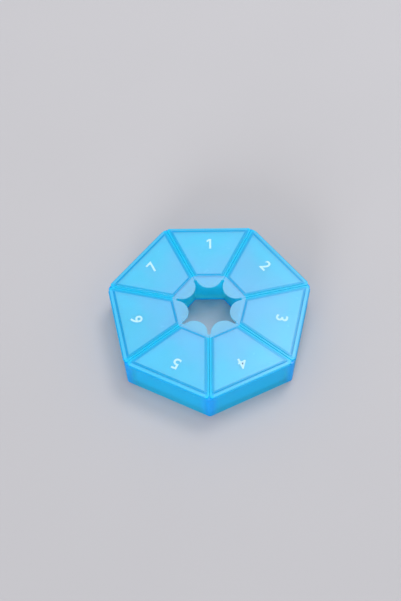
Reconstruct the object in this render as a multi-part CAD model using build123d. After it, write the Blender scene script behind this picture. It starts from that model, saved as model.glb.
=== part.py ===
from build123d import *
import os
from math import cos, pi, sin, tan

# Weekly pill box: a seven-sided ring tray with a flip-up lid for each day.
# Millimetres, Z up. The origin is on the table, on the axis of the centre hole.

# The whole box
day_count = 7
first_day_angle = 90.0       # degrees from X to the middle of the first day's side
body_apothem = 47.05         # axis to the flat of the outer wall, at its top
hole_apothem = 15.2          # axis to the flat of the centre hole's wall
overall_height = 20.0        # table to the top of a lid's panel

# Tray
outer_wall = 1.4
inner_wall = 1.6
partition = 1.5
floor_thickness = 1.2
wall_draft = 0.15            # how far a wall leans over its whole height
body_corner_radius = 1.8
hole_corner_radius = 1.0
pocket_corner_radius = 2.6
pocket_floor_radius = 1.8
foot_radius = 0.6
hole_foot_radius = 0.4
ledge_edge_radius = 0.15

# Lid
flange_thickness = 1.1
panel_rise = 0.4             # panel top above flange top
panel_thickness = 1.1
panel_corner_radius = 1.0
plug_wall = 1.0
plug_depth = 2.0             # plug below the flange
lid_corner_radius = 1.2
tab_overhang = 4.5           # tab tip beyond the wall of the centre hole
tab_end_margin = 0.8         # end of the tab's arc to the side of the lid
tab_root_radius = 0.4
flange_edge_radius = 0.2
panel_edge_radius = 0.3
plug_edge_radius = 0.3

# Hinge web: a thin strip folded into a U that joins the tray's rim to a lid's flange
web_thickness = 0.3
web_bend_radius = 0.1        # inside of the fold
web_leg = 0.25               # flat run from the rim to the start of the fold
web_setback = 0.2            # rim and flange behind the outer wall
web_end_gap = 0.3            # end of the web to the round of the flange's corner

# Catch: a rib on the tray's inner wall, and one on the plug that sits under it
catch_rib_radius = 0.12
catch_rib_length = 7.0
catch_depth = 0.6            # tray's rib below the rim

# Clearances
seat_gap = 0.1               # rim to flange
seam_gap = 0.25              # between neighbouring lids
plug_clearance = 0.35        # plug to the walls of its pocket
web_clearance = 0.15         # web to the ledge under it
catch_clearance = 0.1        # between the two ribs, up and down
cut_overrun = 1.0

# Half of one day's wedge, and half of the lid's corner at the rim, in radians
half_wedge = pi / day_count
half_lid_corner = (pi / 2 - half_wedge) / 2

# Heights
flange_top = overall_height - panel_rise
flange_bottom = flange_top - flange_thickness
plug_bottom = flange_bottom - plug_depth
rim_height = flange_bottom - seat_gap
hinge_height = rim_height + seat_gap / 2
web_outer_radius = web_bend_radius + web_thickness
ledge_height = hinge_height - web_outer_radius - web_clearance
tray_rib_height = rim_height - catch_depth
lid_rib_height = tray_rib_height - 2 * catch_rib_radius - catch_clearance

# Distances from the axis of the hole
joint_apothem = body_apothem - web_setback
hinge_apothem = joint_apothem + web_leg
pocket_outer = body_apothem - outer_wall
pocket_inner = hole_apothem + inner_wall
plug_outer = pocket_outer - plug_clearance
plug_inner = pocket_inner + plug_clearance
tab_tip = hole_apothem - tab_overhang

# Distances from a seam between two days, and the rounds that go with them
pocket_inset = partition / 2
plug_inset = pocket_inset + plug_clearance
lid_inset = seam_gap / 2
plug_corner_radius = pocket_corner_radius - plug_clearance
room_corner_radius = plug_corner_radius - plug_wall


def half_width(apothem, inset):
    """Half the width of one day's wedge, drawn in by inset from its two seams."""
    return apothem * tan(half_wedge) - inset / cos(half_wedge)


def ring_outline(apothem, radius, height):
    """Rounded outline of the box, with a flat square to each day's direction."""
    reach = apothem / cos(half_wedge)
    first_turn = first_day_angle * pi / 180 + half_wedge
    turns = [first_turn + 2 * half_wedge * day for day in range(day_count)]
    outline = Polygon(*[(reach * cos(turn), reach * sin(turn)) for turn in turns], align=None)
    return Pos(0, 0, height) * fillet(outline.vertices(), radius)


def wedge_outline(inner, outer, inset, radius, height):
    """Rounded outline between two seams, with its middle along X."""
    outline = Polygon(
        (inner, -half_width(inner, inset)),
        (outer, -half_width(outer, inset)),
        (outer, half_width(outer, inset)),
        (inner, half_width(inner, inset)),
        align=None,
    )
    return Pos(0, 0, height) * fillet(outline.vertices(), radius)


def lowest_edges(shape):
    return shape.edges().group_by(Axis.Z)[0]


def highest_edges(shape):
    return shape.edges().group_by(Axis.Z)[-1]


def catch_rib(apothem, height):
    """Round rib that lies along the inner wall of a pocket."""
    return Pos(apothem, 0, height) * Rot(90, 0, 0) * Cylinder(catch_rib_radius, catch_rib_length)


def on_day(shape, day):
    """Turns a shape made along X to its day, counted clockwise from above."""
    return Rot(0, 0, first_day_angle - 360 / day_count * day) * shape


def make_pocket():
    """Room of one pocket, leaning in to a rounded floor, with its overrun above the rim."""
    floor_outline = wedge_outline(
        pocket_inner + wall_draft,
        pocket_outer - wall_draft,
        pocket_inset + wall_draft,
        pocket_corner_radius - wall_draft,
        floor_thickness,
    )
    mouth = wedge_outline(pocket_inner, pocket_outer, pocket_inset, pocket_corner_radius, rim_height)
    room = loft([floor_outline.face(), mouth.face()], ruled=True)
    room = fillet(lowest_edges(room), pocket_floor_radius)
    return room + extrude(mouth, cut_overrun)


def make_tray():
    """Drafted ring with a stepped-back rim, the centre hole, the pockets and their catch ribs."""
    foot = ring_outline(body_apothem - wall_draft, body_corner_radius, 0)
    ledge = ring_outline(body_apothem, body_corner_radius, ledge_height)
    body = loft([foot.face(), ledge.face()], ruled=True)
    body = fillet(lowest_edges(body), foot_radius)
    body = fillet(highest_edges(body), ledge_edge_radius)
    rim = ring_outline(joint_apothem, body_corner_radius - web_setback, ledge_height)
    body += extrude(rim, rim_height - ledge_height)

    hole = ring_outline(hole_apothem, hole_corner_radius, -cut_overrun)
    body -= extrude(hole, rim_height + 2 * cut_overrun)
    foot_edges = lowest_edges(body)
    ring_middle = (hole_apothem + body_apothem) / 2
    hole_edges = foot_edges.filter_by(lambda edge: edge.center().length < ring_middle)
    body = fillet(hole_edges, hole_foot_radius)

    pocket = make_pocket()
    rib = catch_rib(pocket_inner, tray_rib_height)
    for day in range(day_count):
        body -= on_day(pocket, day)
        body += on_day(rib, day)
    return body


def make_flange():
    """Flat plate of a lid: it covers the walls of its pocket and carries the thumb tab."""
    side_in = half_width(hole_apothem, lid_inset)
    side_out = half_width(joint_apothem, lid_inset)
    arc_end = side_in - tab_end_margin
    sides = Polyline(
        (hole_apothem, arc_end),
        (hole_apothem, side_in),
        (joint_apothem, side_out),
        (joint_apothem, -side_out),
        (hole_apothem, -side_in),
        (hole_apothem, -arc_end),
    )
    tab = ThreePointArc((hole_apothem, -arc_end), (tab_tip, 0), (hole_apothem, arc_end))
    outline = make_face([*sides.edges(), tab.edge()])
    outline = fillet(outline.vertices().group_by(Axis.X)[0], tab_root_radius)
    outline = fillet(outline.vertices().group_by(Axis.X)[-1], lid_corner_radius)
    plate = extrude(Pos(0, 0, flange_bottom) * outline, flange_thickness)
    plate = fillet(highest_edges(plate), flange_edge_radius)
    tab_edge = lowest_edges(plate).filter_by(GeomType.CIRCLE).sort_by(Axis.X)[0]
    return fillet(tab_edge, flange_edge_radius)


def make_lid():
    """Flange with a raised panel above it, a plug below it and one hollow inside both."""
    panel_outline = wedge_outline(plug_inner, plug_outer, plug_inset, panel_corner_radius, flange_bottom)
    panel = extrude(panel_outline, overall_height - flange_bottom)
    panel = fillet(highest_edges(panel), panel_edge_radius)
    plug_outline = wedge_outline(plug_inner, plug_outer, plug_inset, plug_corner_radius, plug_bottom)
    plug = extrude(plug_outline, flange_top - plug_bottom)
    plug = fillet(lowest_edges(plug), plug_edge_radius)
    room_outline = wedge_outline(
        plug_inner + plug_wall,
        plug_outer - plug_wall,
        plug_inset + plug_wall,
        room_corner_radius,
        plug_bottom - cut_overrun,
    )
    room = extrude(room_outline, overall_height - panel_thickness - plug_bottom + cut_overrun)
    lid = make_flange() + panel + plug - room
    return lid + catch_rib(plug_inner, lid_rib_height)


def make_web():
    """Strip of constant thickness, folded round the hinge axis from the rim to the flange."""
    fold = web_outer_radius
    bend = web_bend_radius
    section = make_face([
        Line((-web_leg, fold), (0, fold)),
        ThreePointArc((0, fold), (fold, 0), (0, -fold)),
        Line((0, -fold), (-web_leg, -fold)),
        Line((-web_leg, -fold), (-web_leg, -bend)),
        Line((-web_leg, -bend), (0, -bend)),
        ThreePointArc((0, -bend), (bend, 0), (0, bend)),
        Line((0, bend), (-web_leg, bend)),
        Line((-web_leg, bend), (-web_leg, fold)),
    ])
    corner_run = lid_corner_radius / tan(half_lid_corner)
    half_length = half_width(joint_apothem, lid_inset) - corner_run - web_end_gap
    placed = Plane.XZ * Pos(hinge_apothem, hinge_height) * section
    return extrude(placed, half_length, both=True)


lid = make_lid()
web = make_web()
pieces = {"tray": make_tray()}
for day in range(day_count):
    pieces[f"lid_{day + 1}"] = on_day(lid, day)
    pieces[f"hinge_web_{day + 1}"] = on_day(web, day)

os.makedirs("parts", exist_ok=True)
for name, piece in pieces.items():
    export_step(piece, f"parts/{name}.step")
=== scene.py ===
import bpy
from math import cos, pi, radians, sin
from mathutils import Matrix, Vector


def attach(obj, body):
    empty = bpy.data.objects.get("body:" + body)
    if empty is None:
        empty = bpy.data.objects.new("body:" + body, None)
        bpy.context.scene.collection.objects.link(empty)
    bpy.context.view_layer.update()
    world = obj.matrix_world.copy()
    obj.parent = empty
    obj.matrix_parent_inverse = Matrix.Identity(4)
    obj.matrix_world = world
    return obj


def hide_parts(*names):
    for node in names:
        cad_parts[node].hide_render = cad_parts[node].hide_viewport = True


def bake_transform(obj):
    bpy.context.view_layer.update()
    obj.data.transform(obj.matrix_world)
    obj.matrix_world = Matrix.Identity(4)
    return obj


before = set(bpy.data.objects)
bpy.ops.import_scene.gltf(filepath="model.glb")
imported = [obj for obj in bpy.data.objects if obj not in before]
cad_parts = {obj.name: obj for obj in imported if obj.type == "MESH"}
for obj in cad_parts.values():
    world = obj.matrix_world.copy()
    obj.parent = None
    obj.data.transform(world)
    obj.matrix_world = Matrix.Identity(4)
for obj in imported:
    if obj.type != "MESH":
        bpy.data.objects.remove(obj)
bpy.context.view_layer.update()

# Tray: one thin-walled moulding of cloudy blue plastic, a seven-sided ring with a pocket for each
# day. It drops out of its mould with a satin face. Its walls pass light on. Its inner walls are
# painted a lighter blue, a painted glow of the light that passes through them. Down the corners
# the blue is painted deeper, partly the thicker plastic where the partitions end and partly
# painted shade, and painted shade deepens the blue at the foot of the hole.
day_count = 7
half_wedge = pi / day_count
first_day_angle = pi / 2
outer_wall_start = 0.0440
outer_wall_blur = 0.001
corner_depth = 0.0055
corner_grain = (60.0, 3.0)
corner_evenness = 0.60
hole_wall_back = 0.0168
hole_wall_middle = 0.0160
hole_foot_depth = 0.0032
plastic_ior = 1.49
plastic_shine = 1.0
ripple_grain = (140.0, 1.0)
ripple_strength = 0.10
ripple_depth = 0.0002
satin_grain = (1800.0, 3.0)
satin_strength = 0.25
wall_satin_depth = 0.00003
wear_grain = (220.0, 4.0)
wear_spread = 0.16
least_roughness = 0.16
tray_cloudiness = 0.60
tray_clearness = 0.44
opaque_deepness = 1.2
tray_blue = (0.050, 0.645, 1.000, 1)
# Painted glow: the inner colours are lighter than the outer ones, for the light that passes
# through the inner walls.
tray_inner_glow_blue = (0.030, 0.800, 1.000, 1)
# Painted shade: the deep colours darken the foot of the hole, and down the corners they are partly
# thicker plastic and partly painted shade.
tray_deep_shade_blue = (0.000, 0.390, 1.000, 1)
onward_blue = (0.150, 0.900, 1.000, 1)
onward_inner_glow_blue = (0.320, 0.990, 1.000, 1)
onward_deep_shade_blue = (0.020, 0.690, 1.000, 1)
tray_glimpse_blue = (0.220, 0.890, 1.000, 1)


def add_node(tree, kind, feeds, **options):
    """Adds a shader node, sets its options, and feeds its sockets from values or other sockets."""
    made = tree.nodes.new("ShaderNode" + kind)
    for option, value in options.items():
        setattr(made, option, value)
    for place, feed in feeds.items():
        if isinstance(feed, bpy.types.NodeSocket):
            tree.links.new(feed, made.inputs[place])
        else:
            made.inputs[place].default_value = feed
    return made


def work_out(tree, operation, *terms):
    """One step of arithmetic on the surface."""
    return add_node(tree, "Math", dict(enumerate(terms)), operation=operation).outputs[0]


def fade(tree, value, start, end):
    """Goes smoothly from 0 where value is start to 1 where it is end."""
    feeds = {"Value": value, "From Min": start, "From Max": end}
    return add_node(tree, "MapRange", feeds, interpolation_type="SMOOTHSTEP").outputs[0]


def tint(tree, share, under, over):
    """Goes from the colour under to the colour over with share."""
    # A Mix node takes its two colours at sockets 6 and 7, and gives the mixed one at socket 2.
    feeds = {"Factor": share, 6: under, 7: over}
    return add_node(tree, "Mix", feeds, data_type="RGBA").outputs[2]


def clouding(tree, place, grain):
    """Uneven value between 0 and 1 that drifts over the surface. A grain is scale and detail."""
    scale, detail = grain
    feeds = {"Vector": place, "Scale": scale, "Detail": detail}
    return add_node(tree, "TexNoise", feeds).outputs["Fac"]


def relief(tree, height, strength, depth, **under):
    """Tilts the face by an uneven height, on top of any relief under it."""
    feeds = {"Height": height, "Strength": strength, "Distance": depth, **under}
    return add_node(tree, "Bump", feeds).outputs["Normal"]


def moulded_plastic(name, cloudiness, clearness, glimpse_blue, satin_depth):
    """Cloudy plastic: a satin face, light scattered on through it, and a faint straight view."""
    material = bpy.data.materials.new(name)
    material.use_nodes = True
    tree = material.node_tree
    shader = tree.nodes["Principled BSDF"]
    shader.inputs["IOR"].default_value = plastic_ior
    shader.inputs["Specular IOR Level"].default_value = plastic_shine
    place = add_node(tree, "TexCoord", {}).outputs["Object"]
    ripple = relief(tree, clouding(tree, place, ripple_grain), ripple_strength, ripple_depth)
    stipple = clouding(tree, place, satin_grain)
    satin = relief(tree, stipple, satin_strength, satin_depth, Normal=ripple)
    tree.links.new(satin, shader.inputs["Normal"])
    wear = clouding(tree, place, wear_grain)
    roughness = work_out(tree, "MULTIPLY_ADD", wear, wear_spread, least_roughness)
    tree.links.new(roughness, shader.inputs["Roughness"])
    onward = add_node(tree, "BsdfTranslucent", {"Normal": satin})
    cloudy_feeds = {0: cloudiness, 1: shader.outputs[0], 2: onward.outputs[0]}
    cloudy = add_node(tree, "MixShader", cloudy_feeds)
    straight = add_node(tree, "BsdfTransparent", {"Color": glimpse_blue})
    whole_feeds = {0: clearness, 1: cloudy.outputs[0], 2: straight.outputs[0]}
    whole = add_node(tree, "MixShader", whole_feeds)
    tree.links.new(whole.outputs[0], tree.nodes["Material Output"].inputs["Surface"])
    return material, tree, shader, onward, whole.inputs[0], place


def day_distances(tree, place):
    """Where a spot lies in its day's wedge: out from the axis, in from the seam, and up."""
    x, y, z = add_node(tree, "SeparateXYZ", {0: place}).outputs
    turn = work_out(tree, "SUBTRACT", work_out(tree, "ARCTAN2", y, x), first_day_angle)
    turn = work_out(tree, "WRAP", turn, half_wedge, -half_wedge)
    flat = add_node(tree, "CombineXYZ", {0: x, 1: y})
    reach = add_node(tree, "VectorMath", {0: flat.outputs[0]}, operation="LENGTH").outputs["Value"]
    out = work_out(tree, "MULTIPLY", reach, work_out(tree, "COSINE", turn))
    off_middle = work_out(tree, "ABSOLUTE", turn)
    from_seam = work_out(tree, "SUBTRACT", half_wedge, off_middle)
    seam = work_out(tree, "MULTIPLY", reach, work_out(tree, "SINE", from_seam))
    return out, seam, z


tray_plastic, tree, shader, onward, glimpse, place = moulded_plastic(
    "tray_plastic", tray_cloudiness, tray_clearness, tray_glimpse_blue, wall_satin_depth
)
out, seam, height = day_distances(tree, place)
outside = fade(tree, out, outer_wall_start, outer_wall_start + outer_wall_blur)
# Down the corners a deeper blue: partly the thicker plastic where the partitions end, partly
# painted shade.
by_corner = work_out(tree, "MULTIPLY", fade(tree, seam, corner_depth, 0.0), outside)
unevenness = work_out(tree, "ADD", clouding(tree, place, corner_grain), corner_evenness)
deep_shade = work_out(tree, "MULTIPLY", by_corner, unevenness)
# Painted shade: a deeper blue at the foot of the hole's wall.
by_hole = fade(tree, out, hole_wall_back, hole_wall_middle)
by_foot = work_out(tree, "MULTIPLY", fade(tree, height, hole_foot_depth, 0.0), by_hole)
deep_shade = work_out(tree, "MAXIMUM", deep_shade, by_foot)
# Inside the outer wall the blue is painted lighter, a painted glow of the light passing through.
face = tint(tree, outside, tray_inner_glow_blue, tray_blue)
tree.links.new(tint(tree, deep_shade, face, tray_deep_shade_blue), shader.inputs["Base Color"])
behind = tint(tree, outside, onward_inner_glow_blue, onward_blue)
tree.links.new(tint(tree, deep_shade, behind, onward_deep_shade_blue), onward.inputs["Color"])
deepness_loss = -tray_clearness / opaque_deepness
clearness = work_out(tree, "MULTIPLY_ADD", deep_shade, deepness_loss, tray_clearness)
tree.links.new(clearness, glimpse)
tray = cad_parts["tray"]
tray.data.materials.clear()
tray.data.materials.append(tray_plastic)

# Lids: seven mouldings of the same plastic, each a flat plate with a bluer rim, a raised panel, a
# paler, clearer thumb tab over the hole, and a shallow plug whose wall shows through the panel as
# a deeper line. Their blues are paler than the tray's by a painted sheen of the light from above.
# They press shut on their plugs and swing on the thin webs along the outer edge.
plug_inner = 0.01715
plug_inset = 0.0011
line_outer = 0.04548
line_start = 0.00005
line_stop = 0.00125
line_softness = 0.00025
line_grain = (45.0, 3.0)
line_spread = 0.3
least_line = 0.85
seam_line_start = 0.0026
seam_line_full = 0.0021
seam_line_loss = 0.30
band_start = 0.0030
band_full = 0.0013
rim_blur = 0.0003
rim_share = 0.30
tab_blur = 0.00012
drift_grain = (70.0, 2.0)
drift_reach = 0.040
lid_cloudiness = 0.48
lid_clearness = 0.33
line_clearness = 0.22
tab_clearness = 0.50
lid_glimpse_blue = (0.500, 0.930, 1.000, 1)
# Painted sheen: these lid blues are the plastic's blue made paler by a painted sheen of the light
# from above.
lid_sheen_blue = (0.180, 0.735, 1.000, 1)
lid_pale_sheen_blue = (0.285, 0.672, 1.000, 1)
# The band blue, also the rim's tint: partly the thicker plastic beneath, and along the seams
# partly painted shade between the lids.
lid_band_blue = (0.000, 0.745, 1.000, 1)
lid_line_blue = (0.000, 0.395, 0.745, 1)
lid_tab_blue = (0.480, 0.760, 0.990, 1)
onward_pale_blue = (0.400, 0.970, 1.000, 1)
onward_tab_blue = (0.550, 0.970, 1.000, 1)
onward_line_blue = (0.000, 0.670, 0.845, 1)
onward_band_blue = (0.040, 0.900, 1.000, 1)

lid_plastic, tree, shader, onward, glimpse, place = moulded_plastic(
    "lid_plastic", lid_cloudiness, lid_clearness, lid_glimpse_blue, wall_satin_depth
)
out, seam = day_distances(tree, place)[:2]

# The plug's line runs round just inside the plug's outline, and is fainter along the seams.
inside = work_out(tree, "SUBTRACT", line_outer, out)
inside = work_out(tree, "MINIMUM", inside, work_out(tree, "SUBTRACT", out, plug_inner))
inside = work_out(tree, "MINIMUM", inside, work_out(tree, "SUBTRACT", seam, plug_inset))
line = fade(tree, inside, line_start - line_softness, line_start + line_softness)
line_end = fade(tree, inside, line_stop + line_softness, line_stop - line_softness)
line = work_out(tree, "MULTIPLY", line, line_end)
unevenness = clouding(tree, place, line_grain)
unevenness = work_out(tree, "MULTIPLY_ADD", unevenness, line_spread, least_line)
line = work_out(tree, "MULTIPLY", line, unevenness)
along_seam = fade(tree, seam, seam_line_start, seam_line_full)
strength = work_out(tree, "MULTIPLY_ADD", along_seam, -seam_line_loss, 1.0)
line = work_out(tree, "MULTIPLY", line, strength)

# Under the line, the panel goes from paler by the tab to bluer outside, both with a painted sheen,
# then band, rim and tab.
drift = clouding(tree, place, drift_grain)
drift = work_out(tree, "MULTIPLY_ADD", drift, drift_reach, -drift_reach / 2)
outward = fade(tree, work_out(tree, "ADD", out, drift), plug_inner, line_outer)
face = tint(tree, outward, lid_pale_sheen_blue, lid_sheen_blue)
# Along each seam a deeper band: partly the thicker plastic beneath, partly painted shade between
# the lids.
by_seam = fade(tree, seam, band_start, band_full)
by_rim = fade(tree, out, line_outer, line_outer + rim_blur)
by_edge = work_out(tree, "MAXIMUM", by_seam, work_out(tree, "MULTIPLY", by_rim, rim_share))
by_tab = fade(tree, out, plug_inner, plug_inner - tab_blur)
face = tint(tree, by_edge, face, lid_band_blue)
face = tint(tree, by_tab, face, lid_tab_blue)
tree.links.new(tint(tree, line, face, lid_line_blue), shader.inputs["Base Color"])
behind = tint(tree, by_edge, onward_pale_blue, onward_band_blue)
behind = tint(tree, by_tab, behind, onward_tab_blue)
tree.links.new(tint(tree, line, behind, onward_line_blue), onward.inputs["Color"])
clearness = work_out(tree, "MULTIPLY_ADD", line, line_clearness - lid_clearness, lid_clearness)
clearness = work_out(tree, "MULTIPLY_ADD", by_tab, tab_clearness - lid_clearness, clearness)
tree.links.new(clearness, glimpse)
for day in range(1, day_count + 1):
    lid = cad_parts[f"lid_{day}"]
    lid.data.materials.clear()
    lid.data.materials.append(lid_plastic)

# Hinge webs: thin strips of the same plastic, moulded in one with the tray and the lids.
# Each is folded into a U along a side of the box, as it lies while its lid is shut.
web_thickness = 0.0003
web_bend_radius = 0.0001
web_leg = 0.00025
web_half_length = 0.02021
hinge_apothem = 0.0471
hinge_height = 0.01845
fold_steps = 16
merge_distance = 0.000001
smooth_angle = radians(40)
web_grain = (90.0, 3.0)
web_satin_depth = 0.00001
web_cloudiness = 0.55
web_clearness = 0.30
web_blue = (0.020, 0.580, 0.900, 1)
web_deep_blue = (0.000, 0.430, 0.800, 1)
onward_web_blue = (0.050, 0.760, 0.920, 1)


def turn_to(day):
    """Turns what is modelled on the X axis to a day's place in the ring."""
    return Matrix.Rotation(first_day_angle - 2 * half_wedge * (day - 1), 4, "Z")


web_plastic, tree, shader, onward, _, place = moulded_plastic(
    "web_plastic", web_cloudiness, web_clearness, lid_glimpse_blue, web_satin_depth
)
face = tint(tree, clouding(tree, place, web_grain), web_blue, web_deep_blue)
tree.links.new(face, shader.inputs["Base Color"])
onward.inputs["Color"].default_value = onward_web_blue

bpy.ops.object.select_all(action="DESELECT")
leg_height = hinge_height - web_bend_radius - web_thickness / 2
bpy.ops.mesh.primitive_plane_add(
    size=1, location=(hinge_apothem - web_leg, 0, leg_height), rotation=(0, pi / 2, 0)
)
web = bpy.context.object
web.scale = (web_thickness, 2 * web_half_length, 1)
bpy.ops.object.transform_apply(location=True, rotation=True, scale=True)
bpy.ops.object.mode_set(mode="EDIT")
bpy.ops.mesh.select_mode(type="FACE")
bpy.ops.mesh.select_all(action="SELECT")
bpy.ops.mesh.extrude_region_move(TRANSFORM_OT_translate={"value": (web_leg, 0, 0)})
bpy.ops.mesh.spin(
    steps=fold_steps, angle=pi, center=(hinge_apothem, 0, hinge_height), axis=(0, 1, 0)
)
bpy.ops.mesh.extrude_region_move(TRANSFORM_OT_translate={"value": (-web_leg, 0, 0)})
bpy.ops.mesh.select_all(action="SELECT")
bpy.ops.mesh.remove_doubles(threshold=merge_distance)
bpy.ops.mesh.select_all(action="DESELECT")
bpy.ops.mesh.select_interior_faces()
bpy.ops.mesh.delete(type="FACE")
bpy.ops.mesh.select_all(action="SELECT")
bpy.ops.mesh.normals_make_consistent(inside=False)
bpy.ops.object.mode_set(mode="OBJECT")
bpy.ops.object.shade_smooth_by_angle(angle=smooth_angle)
web.data.materials.append(web_plastic)

for day in range(1, day_count + 1):
    day_web = web.copy()
    day_web.data = web.data.copy()
    day_web.name = f"folded_web_{day}"
    day_web.data.transform(turn_to(day))
    bpy.context.collection.objects.link(day_web)
    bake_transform(day_web)
    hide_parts(f"hinge_web_{day}")
bpy.data.objects.remove(web, do_unlink=True)

# Day numbers: a plain white numeral printed on each lid's panel, its top towards the outer edge.
# The ink is a thin matt film, a little uneven, and the blue shows faintly through it.
panel_top = 0.0200
numeral_height = 0.0060
numeral_reach = 0.0368
type_share = 0.73
stroke_width = 0.00105
stroke_widening = 0.00013
flag_width = stroke_width * 1.2
flag_reach = 0.0013
flag_drop = flag_reach * 0.6
select_slack = stroke_width / 10
ink_thickness = 0.00004
ink_grain = (900.0, 4.0)
thin_start = 0.35
thin_full = 0.75
ink_wear_spread = 0.25
ink_least_roughness = 0.40
ink_relief = 0.2
ink_relief_depth = 0.00001
ink_white = (0.415, 0.675, 0.860, 1)
ink_thin = (0.340, 0.630, 0.850, 1)

day_print = bpy.data.materials.new("day_print")
day_print.use_nodes = True
tree = day_print.node_tree
shader = tree.nodes["Principled BSDF"]
place = add_node(tree, "TexCoord", {}).outputs["Object"]
cover = clouding(tree, place, ink_grain)
film = tint(tree, fade(tree, cover, thin_start, thin_full), ink_white, ink_thin)
tree.links.new(film, shader.inputs["Base Color"])
roughness = work_out(tree, "MULTIPLY_ADD", cover, ink_wear_spread, ink_least_roughness)
tree.links.new(roughness, shader.inputs["Roughness"])
tree.links.new(relief(tree, cover, ink_relief, ink_relief_depth), shader.inputs["Normal"])

for day in range(1, day_count + 1):
    bpy.ops.object.select_all(action="DESELECT")
    if day == 1:
        bpy.ops.mesh.primitive_plane_add(size=1)
        numeral = bpy.context.object
        numeral.scale = (stroke_width, numeral_height, 1)
        bpy.ops.object.transform_apply(location=False, rotation=False, scale=True)
        bpy.ops.object.mode_set(mode="EDIT")
        bpy.ops.mesh.select_mode(type="EDGE")
        bpy.ops.mesh.select_all(action="SELECT")
        flag_foot = numeral_height / 2 - flag_width
        bpy.ops.mesh.bisect(plane_co=(0, flag_foot, 0), plane_no=(0, 1, 0))
        bpy.ops.mesh.select_all(action="DESELECT")
        bpy.ops.object.mode_set(mode="OBJECT")
        for edge in numeral.data.edges:
            ends = [numeral.data.vertices[corner].co for corner in edge.vertices]
            edge.select = all(end.x < 0 and end.y > flag_foot - select_slack for end in ends)
        bpy.ops.object.mode_set(mode="EDIT")
        flag_tip = (-flag_reach, -flag_drop, 0)
        bpy.ops.mesh.extrude_region_move(TRANSFORM_OT_translate={"value": flag_tip})
        bpy.ops.mesh.select_all(action="SELECT")
        bpy.ops.mesh.extrude_region_move(TRANSFORM_OT_translate={"value": (0, 0, ink_thickness)})
        bpy.ops.mesh.select_all(action="SELECT")
        bpy.ops.mesh.normals_make_consistent(inside=False)
        bpy.ops.object.mode_set(mode="OBJECT")
    else:
        bpy.ops.object.text_add()
        numeral = bpy.context.object
        numeral.data.body = str(day)
        numeral.data.size = numeral_height / type_share
        numeral.data.offset = stroke_widening
        numeral.data.extrude = ink_thickness / 2
        bpy.ops.object.convert(target="MESH")
        bpy.ops.object.mode_set(mode="EDIT")
        bpy.ops.mesh.select_all(action="SELECT")
        bpy.ops.mesh.remove_doubles(threshold=merge_distance)
        bpy.ops.mesh.normals_make_consistent(inside=False)
        bpy.ops.object.mode_set(mode="OBJECT")
    numeral.name = f"day_number_{day}"
    low, high = Vector(numeral.bound_box[0]), Vector(numeral.bound_box[6])
    lay_on = Matrix.Translation((numeral_reach, 0, panel_top)) @ Matrix.Rotation(-pi / 2, 4, "Z")
    numeral.data.transform(turn_to(day) @ lay_on @ Matrix.Translation(-(low + high) / 2))
    numeral.data.materials.clear()
    numeral.data.materials.append(day_print)
    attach(numeral, f"lid_{day}")

# Table: a plain pale grey sheet that the box stands on.
# It is paint-smooth and matt, with hardly any grain.
table_size = 20.0
table_grain = (12.0, 2.0)
table_roughness = 0.8
table_shine = 0.2
table_grey = (0.428, 0.423, 0.447, 1)
table_pale = (0.441, 0.436, 0.460, 1)

bpy.ops.object.select_all(action="DESELECT")
bpy.ops.mesh.primitive_plane_add(size=table_size, location=(0, 0, 0))
table = bpy.context.object
table.name = "table"
table_paint = bpy.data.materials.new("table_paint")
table_paint.use_nodes = True
tree = table_paint.node_tree
shader = tree.nodes["Principled BSDF"]
shader.inputs["Roughness"].default_value = table_roughness
shader.inputs["Specular IOR Level"].default_value = table_shine
place = add_node(tree, "TexCoord", {}).outputs["Object"]
face = tint(tree, clouding(tree, place, table_grain), table_grey, table_pale)
tree.links.new(face, shader.inputs["Base Color"])
table.data.materials.append(table_paint)

# Light: a soft even room, a softbox high behind the box, and two wide far lamps, one low in front
# and one overhead that reaches down into the hole. It may bounce often, because it passes
# through many walls on its way to the pockets and the hole.
room_white = (1, 1, 1, 1)
room_level = 0.72
softbox_stand = (0.30, 0.46, 1.10)
softbox_size = 0.5
softbox_power = 5.0
# Each far lamp has a stand, a spread and a strength.
far_lamps = {
    "front_fill": ((-0.35, -1.08, 0.28), radians(24), 2.10),
    "top_light": ((0.00, 0.05, 1.20), radians(19), 0.60),
}
most_bounces = 32
most_scatterings = 16


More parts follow.
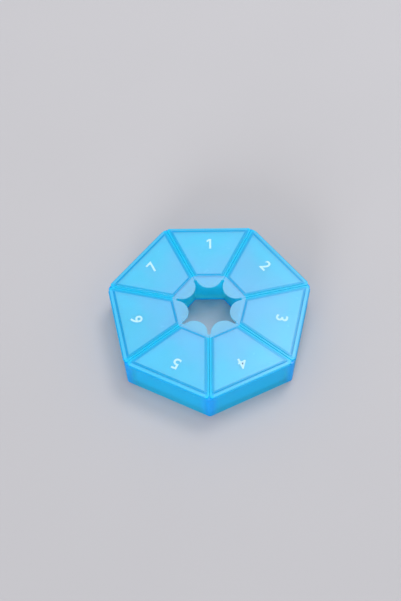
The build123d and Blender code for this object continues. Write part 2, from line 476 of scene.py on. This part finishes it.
def hang_lamp(name, kind, stand):
    """Hangs a lamp at stand and points it at the middle of the table."""
    bpy.ops.object.light_add(type=kind, location=stand)
    lamp = bpy.context.object
    lamp.name = name
    lamp.rotation_euler = Vector(stand).to_track_quat("Z", "Y").to_euler()
    return lamp.data


world = bpy.data.worlds.new("room")
bpy.context.scene.world = world
world.use_nodes = True
room = world.node_tree.nodes["Background"]
room.inputs["Color"].default_value = room_white
room.inputs["Strength"].default_value = room_level
softbox = hang_lamp("softbox", "AREA", softbox_stand)
softbox.shape = "DISK"
softbox.size = softbox_size
softbox.energy = softbox_power
for lamp_name, (stand, spread, strength) in far_lamps.items():
    far_lamp = hang_lamp(lamp_name, "SUN", stand)
    far_lamp.angle = spread
    far_lamp.energy = strength
bounces = bpy.context.scene.cycles
bounces.max_bounces = most_bounces
bounces.diffuse_bounces = most_scatterings
bounces.transmission_bounces = most_bounces
bounces.transparent_max_bounces = most_bounces

# Camera: high in front of the box, a little to one side and tipped a little, as in the photograph.
# It looks down at the middle of the lids through a slightly long lens, with all of the box sharp.
camera_turn = radians(2.01)
camera_rise = radians(58.22)
camera_roll = radians(-2.28)
camera_distance = 0.52215
camera_aside = -0.0042
camera_up = 0.0022
camera_lens = 62.9
camera_sensor = 36

back = Vector((
    sin(camera_turn) * cos(camera_rise),
    -cos(camera_turn) * cos(camera_rise),
    sin(camera_rise),
))
level = Vector((0, 0, 1)).cross(back).normalized()
rise = back.cross(level)
stand = Vector((0, 0, panel_top)) + back * camera_distance
stand = stand + level * camera_aside + rise * camera_up
right = cos(camera_roll) * level + sin(camera_roll) * rise
up = cos(camera_roll) * rise - sin(camera_roll) * level
camera_data = bpy.data.cameras.new("camera")
camera_data.lens = camera_lens
camera_data.sensor_width = camera_sensor
camera = bpy.data.objects.new("camera", camera_data)
bpy.context.collection.objects.link(camera)
camera.matrix_world = Matrix.Translation(stand) @ Matrix((right, up, back)).transposed().to_4x4()
bpy.context.scene.camera = camera
bpy.context.scene.view_settings.view_transform = "Standard"
